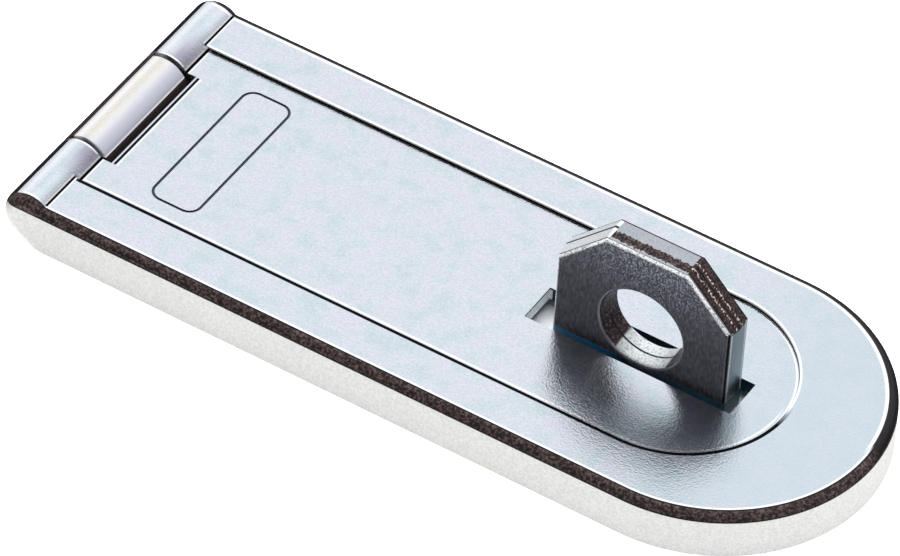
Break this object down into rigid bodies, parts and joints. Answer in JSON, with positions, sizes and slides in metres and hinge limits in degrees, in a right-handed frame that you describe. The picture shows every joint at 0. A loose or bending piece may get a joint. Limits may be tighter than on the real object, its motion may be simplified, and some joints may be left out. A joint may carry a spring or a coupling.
{
  "type": "armoured hasp",
  "caption": "Armoured hasp with a round-ended pressed leaf on a hidden hinge, and a flat chamfered staple with a round hole for a padlock shackle.",
  "frame": {"origin": "middle of the hasp on its mounting surface", "axes": "+X from the hinge to the round end, +Z away from the mounting surface"},
  "size_m": [0.12, 0.0478, 0.0261],
  "materials": {
    "zinc_leaf": "satin zinc plate",
    "zinc_plain": "plain zinc plate",
    "hardened_steel": "zinc plate on hardened steel"
  },
  "bodies": {
    "base": {"base_plate": "zinc_plain", "staple_plate": "zinc_plain", "staple": "hardened_steel"},
    "leaf": {"hasp_leaf": "zinc_leaf", "hinge_pin": "zinc_plain"}
  },
  "joints": [
    {"name": "leaf_hinge", "type": "hinge", "parent": "base", "child": "leaf", "pos_m": [-0.0562, 0, 0.0045], "axis": [0, -1, 0], "range_deg": [0, 180]}
  ]
}
